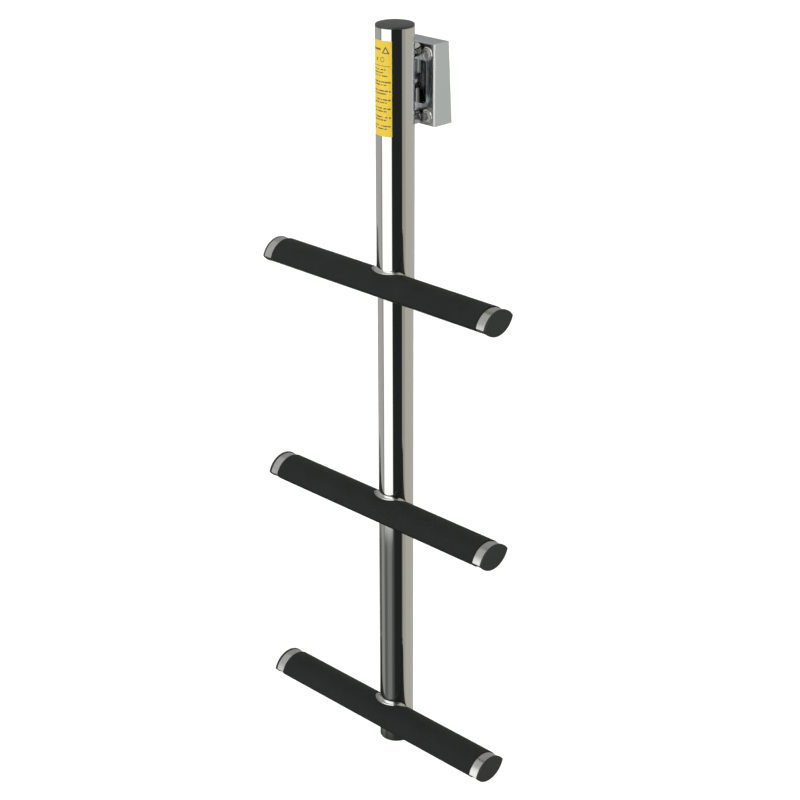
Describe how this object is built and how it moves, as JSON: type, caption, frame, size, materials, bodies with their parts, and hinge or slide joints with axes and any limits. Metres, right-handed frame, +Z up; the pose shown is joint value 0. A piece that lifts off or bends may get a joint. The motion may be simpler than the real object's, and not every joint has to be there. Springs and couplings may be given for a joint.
{
  "type": "boat boarding ladder",
  "caption": "Telescoping single-pole boarding ladder with rubber-clad cross steps, hooked onto a wedge-shaped transom bracket.",
  "frame": {"origin": "middle of the four transom bolts, on the bracket's leaning back face", "axes": "+Z up along the pole, +Y towards the boat's transom, +X to the climber's right when facing the boat"},
  "size_m": [0.42, 0.127, 1.0607],
  "materials": {
    "polished_steel": "mirror-polished stainless tube",
    "bracket_steel": "bright stainless sheet",
    "satin_steel": "satin stainless tube",
    "weld": "ground and polished weld bead",
    "fastener_steel": "plain stainless",
    "rubber_tread": "fine-grained matt rubber",
    "rubber_pad": "matt rubber",
    "black_plastic": "moulded black plastic, slight sheen",
    "nylon": "natural nylon",
    "yellow_label": "printed vinyl, satin"
  },
  "bodies": {
    "bracket": {"bracket_housing": "bracket_steel", "bracket_back_plate": "bracket_steel", "bolt_sleeves": "bracket_steel"},
    "upper_section": {"outer_pole": "polished_steel", "top_plug": "black_plastic", "warning_label": "yellow_label", "hanger_plate": "polished_steel", "upper_standoff": "polished_steel", "upper_standoff_pad": "rubber_pad", "lower_standoff": "polished_steel", "lower_standoff_pad": "rubber_pad", "step_1_tube": "satin_steel", "step_1_tread": "rubber_tread", "step_1_cap_left": "black_plastic", "step_1_cap_right": "black_plastic", "step_1_weld": "weld"},
    "lower_section": {"inner_pole": "polished_steel", "glide_plug": "nylon", "guide_screw": "fastener_steel", "guide_nut": "fastener_steel", "foot_plug": "black_plastic", "step_2_tube": "satin_steel", "step_2_tread": "rubber_tread", "step_2_cap_left": "black_plastic", "step_2_cap_right": "black_plastic", "step_2_weld": "weld", "step_3_tube": "satin_steel", "step_3_tread": "rubber_tread", "step_3_cap_left": "black_plastic", "step_3_cap_right": "black_plastic", "step_3_weld": "weld"}
  },
  "joints": [
    {"name": "lift_off", "type": "slide", "parent": "bracket", "child": "upper_section", "axis": [0, 0, 1], "range_m": [0, 0.016]},
    {"name": "telescope", "type": "slide", "parent": "upper_section", "child": "lower_section", "axis": [0, 0, 1], "range_m": [0, 0.255]}
  ]
}
